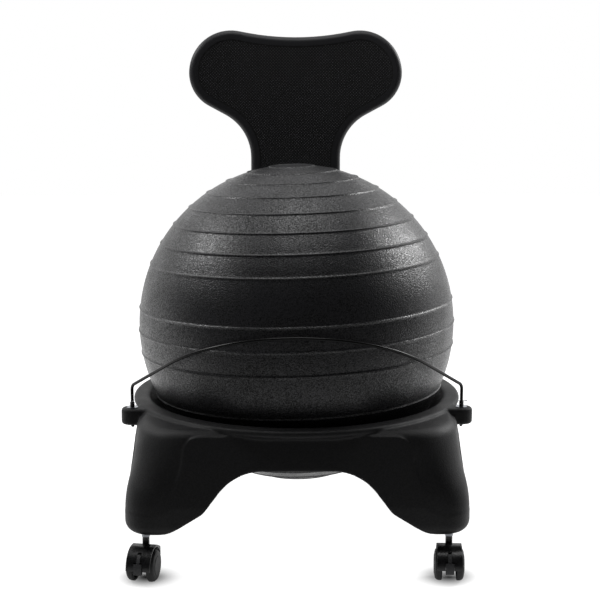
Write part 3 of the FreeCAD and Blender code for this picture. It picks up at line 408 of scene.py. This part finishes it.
enamel, tree, shader, place = new_material(
    "sprayed_gloss_enamel", IOR=1.45, Base_Color=linear("#09090a"), Roughness=0.24,
    Specular_IOR_Level=0.3)
orange = add(tree, "ShaderNodeTexNoise", None, {
    "Vector": place, "Scale": 1 / ENAMEL_PEEL, "Detail": 1.0}).outputs["Fac"]
add(tree, "ShaderNodeBump", None, {"Height": orange, "Distance": 0.00006, "Strength": 0.4},
    shader["Normal"])
dress(enamel, "retaining_bar")

# Zinc plate: pale and slightly blue, with the cloudy crystals of a barrel-plated part.
zinc, tree, shader, place = new_material("bright_zinc_plate", Metallic=1.0)
crystals = add(tree, "ShaderNodeTexNoise", None, {
    "Vector": place, "Scale": 1 / ZINC_CRYSTAL, "Detail": 5.0}).outputs["Fac"]
tones = add(tree, "ShaderNodeValToRGB", None, {"Fac": crystals},
            shader["Base Color"]).color_ramp.elements
tones[0].color, tones[1].color = linear("#8b8e93"), linear("#c3c6cc")
add(tree, "ShaderNodeMapRange", None, {"Value": crystals, "To Min": 0.2, "To Max": 0.42},
    shader["Roughness"])
dress(zinc, "bar_washers", "backrest_washers")

# Nylon: the bushings are turned from rod, so fine rings run round them.
bushing, tree, shader, place = new_material(
    "turned_black_nylon", IOR=1.53, Base_Color=linear("#101011"), Roughness=0.28)
rings = add(tree, "ShaderNodeTexWave", {"wave_type": "BANDS", "bands_direction": "Z"}, {
    "Vector": place, "Scale": WAVE_LENGTH / BUSHING_RING, "Distortion": 0.4}).outputs["Fac"]
add(tree, "ShaderNodeBump", None, {"Height": rings, "Distance": 0.00005, "Strength": 0.4},
    shader["Normal"])
dress(bushing, "bar_bushings")

# Split pins: each is one bent wire with an eye at its head and two legs through the bar.
wire_tree, given = new_tree("swept wire", {
    "Path": "Geometry", "Wire Radius": "Float", "Sides": "Int", "Material": "Material"})
profile = add(wire_tree, "GeometryNodeCurvePrimitiveCircle", None, {
    "Resolution": given["Sides"], "Radius": given["Wire Radius"]})
swept = add(wire_tree, "GeometryNodeCurveToMesh", None, {
    "Curve": given["Path"], "Profile Curve": profile.outputs["Curve"], "Fill Caps": True})
smooth = add(wire_tree, "GeometryNodeSetShadeSmooth", None, {"Geometry": swept.outputs[0]})
close_tree(wire_tree, smooth.outputs[0], given["Material"])


def solid_boxes(node):
    """Boxes of a node's two solids, the one at -X first."""
    sides = {-1: [], 1: []}
    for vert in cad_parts[node].data.vertices:
        sides[1 if vert.co.x > 0 else -1].append(vert.co)
    corners = []
    for points in (sides[-1], sides[1]):
        low = Vector([min(p[i] for p in points) for i in range(3)])
        high = Vector([max(p[i] for p in points) for i in range(3)])
        corners.append((low, high))
    return corners


for node in ("bar_upper_pins", "bar_lower_pins"):
    line = bpy.data.curves.new(node, "CURVE")
    line.dimensions = "3D"
    for side, (low, high) in zip((-1, 1), solid_boxes(node)):
        size = high - low
        lengthways = Vector((1, 0, 0)) * side if size.x > size.y else Vector((0, 1, 0))
        sideways = Vector((-lengthways.y, lengthways.x, 0))
        middle = (low + high) / 2
        half = max(size.x, size.y) / 2
        head = middle + lengthways * (half - PIN_EYE - PIN_WIRE)
        tail = middle - lengthways * (half - PIN_END)
        points = [tail - sideways * PIN_TIP_GAP + lengthways * PIN_SHORT,
                  tail - sideways * PIN_LEG_GAP + lengthways * PIN_BEND]
        for k in range(-PIN_EYE_STEPS, PIN_EYE_STEPS + 1):
            turn = k / PIN_EYE_STEPS * PIN_EYE_SWEEP
            way = lengthways * math.cos(turn) + sideways * math.sin(turn)
            points.append(head + way * PIN_EYE)
        points += [tail + sideways * PIN_LEG_GAP + lengthways * PIN_BEND,
                   tail + sideways * PIN_TIP_GAP]
        spline = line.splines.new("POLY")
        spline.points.add(len(points) - 1)
        for k, p in enumerate(points):
            spline.points[k].co = (p.x, p.y, p.z, 1)
    pins = bpy.data.objects.new("split_pins_" + node.split("_")[1], line)
    scene.collection.objects.link(pins)
    pins = use_tree(pins, wire_tree, {
        "Wire Radius": PIN_WIRE, "Sides": PIN_SIDES, "Material": zinc})
    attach(pins, "base")
    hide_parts(node)


# ---------------------------------------------------------------------------------------------
# Back support: a T-shaped double-walled moulding whose tongue drops into the frame's rear socket.
# Its front carries a field of small raised dots in diamond rows inside a smooth rolled border.

DOT_PITCH = 0.0038             # between neighbouring dots, along the diamond's sides
DOT_WIDTH = 0.0019
DOT_TOP = 0.54                 # width of a dot's flat top, as a share of its foot
DOT_HEIGHT = 0.00045
DOT_SIDES = 6
DOT_MARGIN = 0.0022            # the dots stop this far inside the field's edge
GRID_AHEAD = 0.01              # the grid of dots starts this far before the field
DROP_REACH = 0.2               # and its points look this far back for it
FOOT_AHEAD = 0.005             # a dot looks from this far before its foot for the face it stands on
FIELD_TURN = math.radians(35)  # a face that turns more than this from its neighbour ends the field
FIELD_FACING = -0.85           # so does one whose normal has more than this in Y
SEED_FACING = -0.9             # the field is grown from the foremost face near this height
SEED_REACH = (0.06, 0.12)      # across, and up or down
SEED_LEVEL = 0.7               # of the panel's height
SATIN_HAZE = 0.0014
ERODED_PIT = 0.0011
DOT_PATCH = 0.02
OXIDE_RUB = 0.0011
TARNISH = 0.002

# Smooth border and rear: black polypropylene with a satin moulded face.
satin, tree, shader, place = new_material("satin_polypropylene", IOR=1.49, Roughness=0.48)
haze = add(tree, "ShaderNodeTexNoise", None, {
    "Vector": place, "Scale": 1 / SATIN_HAZE, "Detail": 3.0}).outputs["Fac"]
tones = add(tree, "ShaderNodeValToRGB", None, {"Fac": haze},
            shader["Base Color"]).color_ramp.elements
tones[0].color, tones[1].color = linear("#202023"), linear("#2e2e31")
add(tree, "ShaderNodeBump", None, {"Height": haze, "Distance": 0.00008, "Strength": 0.5},
    shader["Normal"])

# Field: spark-eroded texture between the dots, which takes nearly all the gloss away.
eroded, tree, shader, place = new_material("spark_eroded_polypropylene", IOR=1.49, Roughness=0.62)
pits = add(tree, "ShaderNodeTexVoronoi", None, {
    "Vector": place, "Scale": 1 / ERODED_PIT}).outputs["Distance"]
tones = add(tree, "ShaderNodeValToRGB", None, {"Fac": pits},
            shader["Base Color"]).color_ramp.elements
tones[0].color, tones[1].color = linear("#0c0c0d"), linear("#181819")
add(tree, "ShaderNodeBump", None, {"Height": pits, "Distance": 0.00018, "Strength": 0.7},
    shader["Normal"])

# Dots: painted a lighter grey than the field, a painted sheen, so they show as a lighter lattice on
# it.
dot_sheen_paint, tree, shader, place = new_material("polypropylene_dots_painted_sheen", IOR=1.49, Roughness=0.3)
shade = add(tree, "ShaderNodeTexNoise", None, {
    "Vector": place, "Scale": 1 / DOT_PATCH, "Detail": 2.0}).outputs["Fac"]
tones = add(tree, "ShaderNodeValToRGB", None, {"Fac": shade},
            shader["Base Color"]).color_ramp.elements
tones[0].color, tones[1].color = linear("#363638"), linear("#4c4c50")

# The field is the flat front up to the first crease; the rest of the panel is border and rear.
back = merged_copy("backrest_panel", "back_moulding")
back.data.materials.append(satin)
back.data.materials.append(eroded)
work = bmesh.new()
work.from_mesh(back.data)
work.faces.ensure_lookup_table()
panel_low, panel_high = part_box("backrest_panel")
seed_z = panel_low.z * (1 - SEED_LEVEL) + panel_high.z * SEED_LEVEL
middles = {f: f.calc_center_median() for f in work.faces if f.normal.y < SEED_FACING}
field = {min((f for f, at in middles.items()
              if abs(at.x) < SEED_REACH[0] and abs(at.z - seed_z) < SEED_REACH[1]),
             key=lambda f: middles[f].y)}
todo = list(field)
while todo:
    for edge in todo.pop().edges:
        if edge.calc_face_angle(math.inf) >= FIELD_TURN:
            continue
        for other in edge.link_faces:
            if other not in field and other.normal.y < FIELD_FACING:
                field.add(other)
                todo.append(other)
for face in work.faces:
    face.smooth = True
    face.material_index = 1 if face in field else 0
for edge in work.edges:
    if edge.is_manifold and edge.calc_face_angle(0) > FIELD_TURN:
        edge.smooth = False
work.to_mesh(back.data)
rest = [f for f in work.faces if f.material_index == 0]
bmesh.ops.delete(work, geom=rest, context="FACES")
dots_mesh = bpy.data.meshes.new("back_dots")
work.to_mesh(dots_mesh)
work.free()
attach(back, "base")
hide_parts("backrest_panel")

# Dots: a staggered grid held up before the field, whose points drop on to it along Y.
tree, given = new_tree("dots in diamond rows", {
    "Field": "Geometry", "Pitch": "Float", "Width": "Float", "Top": "Float", "Height": "Float",
    "Sides": "Int", "Margin": "Float", "Material": "Material"})
limits = add(tree, "GeometryNodeBoundBox", None, {"Geometry": given["Field"]})
extent = add(tree, "ShaderNodeVectorMath", {"operation": "SUBTRACT"}, {
    0: limits.outputs["Max"], 1: limits.outputs["Min"]})
size = add(tree, "ShaderNodeSeparateXYZ", None, {0: extent.outputs[0]}).outputs
low = add(tree, "ShaderNodeSeparateXYZ", None, {0: limits.outputs["Min"]}).outputs
position = add(tree, "GeometryNodeInputPosition").outputs[0]
spot = add(tree, "ShaderNodeSeparateXYZ", None, {0: position}).outputs
wide = calc("MULTIPLY", given["Pitch"], math.sqrt(2))
tall = calc("MULTIPLY", given["Pitch"], math.sqrt(0.5))
columns = calc("CEIL", calc("DIVIDE", size["X"], wide))
rows = calc("CEIL", calc("DIVIDE", size["Z"], tall))
grid = add(tree, "GeometryNodeMeshGrid", None, {
    "Size X": calc("MULTIPLY", columns, wide), "Size Y": calc("MULTIPLY", rows, tall),
    "Vertices X": calc("ADD", columns, 1.0), "Vertices Y": calc("ADD", rows, 1.0)})
row = calc("ROUND", calc("ADD", calc("DIVIDE", spot["Y"], tall), calc("MULTIPLY", rows, 0.5)))
stagger = calc("MULTIPLY", calc("FLOORED_MODULO", row, 2.0), calc("MULTIPLY", wide, 0.5))
start = add(tree, "ShaderNodeCombineXYZ", None, {
    "X": calc("ADD", spot["X"], stagger), "Y": calc("SUBTRACT", low["Y"], GRID_AHEAD),
    "Z": calc("ADD", low["Z"], calc("MULTIPLY", row, tall))})
before = add(tree, "GeometryNodeSetPosition", None, {
    "Geometry": grid.outputs["Mesh"], "Position": start.outputs[0]})
hit = add(tree, "GeometryNodeRaycast", None, {
    "Target Geometry": given["Field"], "Ray Direction": (0.0, 1.0, 0.0),
    "Ray Length": DROP_REACH})
points = add(tree, "GeometryNodeMeshToPoints", None, {
    "Mesh": before.outputs[0], "Selection": hit.outputs["Is Hit"],
    "Position": hit.outputs["Hit Position"]})

# A dot too near the field's rim is left out, and each stands square to the face under it.
neighbours = add(tree, "GeometryNodeInputMeshEdgeNeighbors").outputs[0]
rim = add(tree, "GeometryNodeMeshToCurve", None, {
    "Mesh": given["Field"], "Selection": calc("LESS_THAN", neighbours, 1.5)})
rim_line = add(tree, "GeometryNodeCurveToMesh", None, {"Curve": rim.outputs[0]})
near = add(tree, "GeometryNodeProximity", {"target_element": "EDGES"}, {
    "Target": rim_line.outputs[0]}).outputs["Distance"]
ahead = add(tree, "ShaderNodeVectorMath", {"operation": "SUBTRACT"}, {
    0: position, 1: (0.0, FOOT_AHEAD, 0.0)})
under = add(tree, "GeometryNodeRaycast", None, {
    "Target Geometry": given["Field"], "Ray Direction": (0.0, 1.0, 0.0),
    "Ray Length": 4 * FOOT_AHEAD, "Source Position": ahead.outputs[0]})
upright = add(tree, "FunctionNodeAlignRotationToVector", {"axis": "Z"}, {
    "Vector": under.outputs["Hit Normal"]})
foot = calc("MULTIPLY", given["Width"], 0.5)
dot = add(tree, "GeometryNodeMeshCone", {"fill_type": "NGON"}, {
    "Vertices": given["Sides"], "Side Segments": 1, "Fill Segments": 1,
    "Radius Top": calc("MULTIPLY", foot, given["Top"]), "Radius Bottom": foot,
    "Depth": given["Height"]})
placed = add(tree, "GeometryNodeInstanceOnPoints", None, {
    "Points": points.outputs[0], "Selection": calc("GREATER_THAN", near, given["Margin"]),
    "Instance": dot.outputs["Mesh"], "Rotation": upright.outputs[0]})
close_tree(tree, placed.outputs[0], given["Material"])

dots = bpy.data.objects.new("back_dots", dots_mesh)
scene.collection.objects.link(dots)
dots = use_tree(dots, tree, {
    "Pitch": DOT_PITCH, "Width": DOT_WIDTH, "Top": DOT_TOP, "Height": DOT_HEIGHT,
    # The dots wear the painted sheen: their lighter grey stands in for light caught from above.
    "Sides": DOT_SIDES, "Margin": DOT_MARGIN, "Material": dot_sheen_paint})
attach(dots, "base")

# Black oxide: a thin, slightly blue-black skin on the socket-head bolts, rubbed on the edges.
oxide, tree, shader, place = new_material("black_oxide_steel", Metallic=1.0, Roughness=0.42)
blotches = add(tree, "ShaderNodeTexNoise", None, {
    "Vector": place, "Scale": 1 / OXIDE_RUB, "Detail": 4.0}).outputs["Fac"]
tones = add(tree, "ShaderNodeValToRGB", None, {"Fac": blotches},
            shader["Base Color"]).color_ramp.elements
tones[0].color, tones[1].color = linear("#19191c"), linear("#3a3a3f")
dress(oxide, "backrest_bolts")

# Brass inserts: yellow turned metal, dulled by heat where they were pressed into the plastic.
brass, tree, shader, place = new_material("turned_brass", Metallic=1.0, Roughness=0.32)
dulled = add(tree, "ShaderNodeTexNoise", None, {
    "Vector": place, "Scale": 1 / TARNISH, "Detail": 3.0}).outputs["Fac"]
tones = add(tree, "ShaderNodeValToRGB", None, {"Fac": dulled},
            shader["Base Color"]).color_ramp.elements
tones[0].color, tones[1].color = linear("#8d6f3e"), linear("#c9a566")
dress(brass, "backrest_inserts")


# ---------------------------------------------------------------------------------------------
# Casters: four twin-wheel nylon casters. A bright steel stem stands in a plastic sleeve in each
# leg, held by a spring ring; the hood turns on it and carries the axle, and the front two have a
# foot lever with a shoe that presses on both treads.

TURNING_MARK = 0.007 * WAVE_LENGTH  # feed marks 2.2 mm apart, far coarser than real, so they show
SLEEVE_FLOW = 0.003
HOOD_SCUFF = 0.009
LEVER_BLOTCH = 0.002
WHEEL_DUST = 0.004

# Bright steel: the stems are turned and polished, with fine rings that stretch the highlight.
steel, tree, shader, place = new_material(
    "turned_bright_steel", Metallic=1.0, Base_Color=linear("#8e9094"))
marks = add(tree, "ShaderNodeTexWave", {"wave_type": "BANDS", "bands_direction": "Z"}, {
    "Vector": place, "Scale": WAVE_LENGTH / TURNING_MARK, "Distortion": 0.2,
    "Detail": 2.0}).outputs["Fac"]
add(tree, "ShaderNodeMapRange", None, {"Value": marks, "To Min": 0.12, "To Max": 0.26},
    shader["Roughness"])
add(tree, "ShaderNodeBump", None, {"Height": marks, "Distance": 0.00003, "Strength": 0.3},
    shader["Normal"])

# Sleeve: nylon straight from the mould, a shade greyer than the hood.
sleeve, tree, shader, place = new_material("moulded_nylon_sleeve", IOR=1.53, Roughness=0.44)
flow = add(tree, "ShaderNodeTexNoise", None, {
    "Vector": place, "Scale": 1 / SLEEVE_FLOW, "Detail": 2.0}).outputs["Fac"]
tones = add(tree, "ShaderNodeValToRGB", None, {"Fac": flow},
            shader["Base Color"]).color_ramp.elements
tones[0].color, tones[1].color = linear("#1b1b1c"), linear("#262628")

# Hood: polished-mould nylon, glossier than the frame, with faint flow lines and scuffs.
hood, tree, shader, place = new_material("glossy_moulded_nylon", IOR=1.53)
scuff = add(tree, "ShaderNodeTexNoise", None, {
    "Vector": place, "Scale": 1 / HOOD_SCUFF, "Detail": 6.0, "Roughness": 0.7}).outputs["Fac"]
tones = add(tree, "ShaderNodeValToRGB", None, {"Fac": scuff},
            shader["Base Color"]).color_ramp.elements
tones[0].color, tones[1].color = linear("#121213"), linear("#1c1c1e")
add(tree, "ShaderNodeMapRange", None, {
    "Value": scuff, "From Min": 0.35, "From Max": 0.7, "To Min": 0.24, "To Max": 0.42},
    shader["Roughness"])
add(tree, "ShaderNodeBump", None, {"Height": scuff, "Distance": 0.0001, "Strength": 0.3},
    shader["Normal"])

# Brake lever: the same nylon as the hood, duller, and painted a lighter grey: a painted sheen from
# the light above.
lever, tree, shader, place = new_material("dull_nylon_lever_painted_sheen", IOR=1.53, Roughness=0.5)
blotches = add(tree, "ShaderNodeTexNoise", None, {
    "Vector": place, "Scale": 1 / LEVER_BLOTCH, "Detail": 5.0}).outputs["Fac"]
tones = add(tree, "ShaderNodeValToRGB", None, {"Fac": blotches},
            shader["Base Color"]).color_ramp.elements
# Lighter than the hood: painted sheen, with a random tone across it.
tones[0].color, tones[1].color = linear("#2a2a2c"), linear("#4b4b4d")

# Wheel: hard nylon with a worn, duller tread, where floor dust has greyed it.
wheel, tree, shader, place = new_material("hard_nylon_wheel", IOR=1.47)
dust = add(tree, "ShaderNodeTexNoise", None, {
    "Vector": place, "Scale": 1 / WHEEL_DUST, "Detail": 5.0}).outputs["Fac"]
tones = add(tree, "ShaderNodeValToRGB", None, {"Fac": dust},
            shader["Base Color"]).color_ramp.elements
tones[0].position, tones[1].position = 0.35, 0.75
tones[0].color, tones[1].color = linear("#101011"), linear("#1e1e1f")
add(tree, "ShaderNodeMapRange", None, {"Value": dust, "To Min": 0.42, "To Max": 0.66},
    shader["Roughness"])
add(tree, "ShaderNodeBump", None, {"Height": dust, "Distance": 0.00015, "Strength": 0.4},
    shader["Normal"])

for start_of_name, material in (
        ("caster_stem_", steel), ("grip_ring", steel), ("caster_axle_", steel),
        ("brake_pin_", steel), ("caster_socket_", sleeve), ("caster_hood_", hood),
        ("brake_lever_", lever), ("wheel_", wheel)):
    dress(material, *(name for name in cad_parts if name.startswith(start_of_name)))


# ---------------------------------------------------------------------------------------------
# Studio: a white paper floor, a white background behind the chair and a dark room round the
# camera, a wide soft light overhead and one high on each side, and the camera where the
# photograph was taken from.

FLOOR_HALF = 6.0
CASTER_SPOT = (0.233, 0.228, 0.0)
PAINTED_SHADOW_REACH = 0.060           # round each caster the floor is painted darker: a painted shadow
DARK_BEFORE = -0.7             # reflections see the floor dark up to here
WHITE_BEHIND = 0.15            # and white from here on, behind the chair
DARK_FLOOR = 0.05              # what they still see of its white in the dark part
FAR_SIDE = (0.1, 0.5)          # the background turns white in them over this part of +Y
ROOM = 0.03                    # light level of the dark room
LENS = 83.16                   # mm, for the frame of 600 x 600
SENSOR = 36
CAMERA_PLACE = (-0.014, -2.270, 0.783)
CAMERA_DOWN = math.radians(9.7)
CAMERA_YAW = math.radians(-0.498)


def in_view(share):
    """1 for what the camera or a see-through ray meets, and a share of it for a reflection."""
    path = add(tree, "ShaderNodeLightPath").outputs
    direct = calc("MAXIMUM", path["Is Camera Ray"], path["Is Transmission Ray"])
    return calc("MAXIMUM", direct, calc("MULTIPLY", path["Is Glossy Ray"], share))


# White paper: what the camera or a reflection sees is lifted to white, and no more light falls on
# the chair. Round each caster the lift is lowered, which paints a shadow there.
paper, tree, shader, place = new_material(
    "matt_white_paper", Base_Color=linear("#b4b4b4"), Roughness=0.9, Specular_IOR_Level=0.1)
depth = add(tree, "ShaderNodeSeparateXYZ", None, {0: place}).outputs["Y"]
behind = add(tree, "ShaderNodeMapRange", {"interpolation_type": "SMOOTHSTEP"}, {
    "Value": depth, "From Min": DARK_BEFORE, "From Max": WHITE_BEHIND,
    "To Min": DARK_FLOOR})
folded = add(tree, "ShaderNodeVectorMath", {"operation": "ABSOLUTE"}, {0: place})
away = add(tree, "ShaderNodeVectorMath", {"operation": "DISTANCE"}, {
    0: folded.outputs[0], 1: CASTER_SPOT}).outputs["Value"]
# Painted shadow: the lift fades to nothing towards each caster's spot.
level = add(tree, "ShaderNodeMapRange", {"interpolation_type": "SMOOTHSTEP"}, {
    "Value": away, "From Max": PAINTED_SHADOW_REACH})
lift = add(tree, "ShaderNodeEmission", None, {
    "Color": (1, 1, 1, 1),
    "Strength": calc("MULTIPLY", level.outputs[0], in_view(behind.outputs[0]))})
add(tree, "ShaderNodeAddShader", None, {
    0: tree.nodes["Principled BSDF"].outputs[0], 1: lift.outputs[0]},
    tree.nodes["Material Output"].inputs["Surface"])
floor_mesh = bpy.data.meshes.new("floor")
corners = [(x * FLOOR_HALF, y * FLOOR_HALF, 0) for x, y in ((-1, -1), (1, -1), (1, 1), (-1, 1))]
floor_mesh.from_pydata(corners, [], [(0, 1, 2, 3)])
floor_mesh.materials.append(paper)
floor = bpy.data.objects.new("floor", floor_mesh)
scene.collection.objects.link(floor)
floor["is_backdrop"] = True

# Background: white to the camera, and white to reflections on the far side of the chair.
world = bpy.data.worlds.new("studio")
scene.world = world
world.use_nodes = True
tree = world.node_tree
sky = tree.nodes["Background"].inputs
direction = add(tree, "ShaderNodeTexCoord").outputs["Generated"]
way = add(tree, "ShaderNodeSeparateXYZ", None, {0: direction}).outputs["Y"]
far_side = add(tree, "ShaderNodeMapRange", {"interpolation_type": "SMOOTHSTEP"}, {
    "Value": way, "From Min": FAR_SIDE[0], "From Max": FAR_SIDE[1], "To Min": ROOM})
tree.links.new(calc("MAXIMUM", in_view(far_side.outputs[0]), ROOM), sky["Strength"])
sky["Color"].default_value = (1, 1, 1, 1)

for name, place, aim, width, power in (
        ("overhead", (0.0, -0.3, 2.5), (0, 0, 0.3), 1.4, 16),
        ("high_right", (2.05, 0.9, 1.65), (0, 0, 0.4), 0.9, 34),
        ("high_left", (-1.9, 0.1, 2.0), (0, 0, 0.35), 0.9, 22)):
    lamp = bpy.data.lights.new(name, "AREA")
    lamp.shape = "SQUARE"
    lamp.size = width
    lamp.energy = power
    holder = bpy.data.objects.new(name, lamp)
    holder.location = place
    holder.rotation_euler = (Vector(aim) - Vector(place)).to_track_quat("-Z", "Y").to_euler()
    scene.collection.objects.link(holder)

camera = bpy.data.cameras.new("camera")
camera.lens = LENS
camera.sensor_width = SENSOR
camera.clip_end = 50
camera_holder = bpy.data.objects.new("camera", camera)
camera_holder.location = CAMERA_PLACE
camera_holder.rotation_euler = (math.pi / 2 - CAMERA_DOWN, 0, CAMERA_YAW)
scene.collection.objects.link(camera_holder)
scene.camera = camera_holder
scene.view_settings.view_transform = "Standard"

low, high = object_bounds()
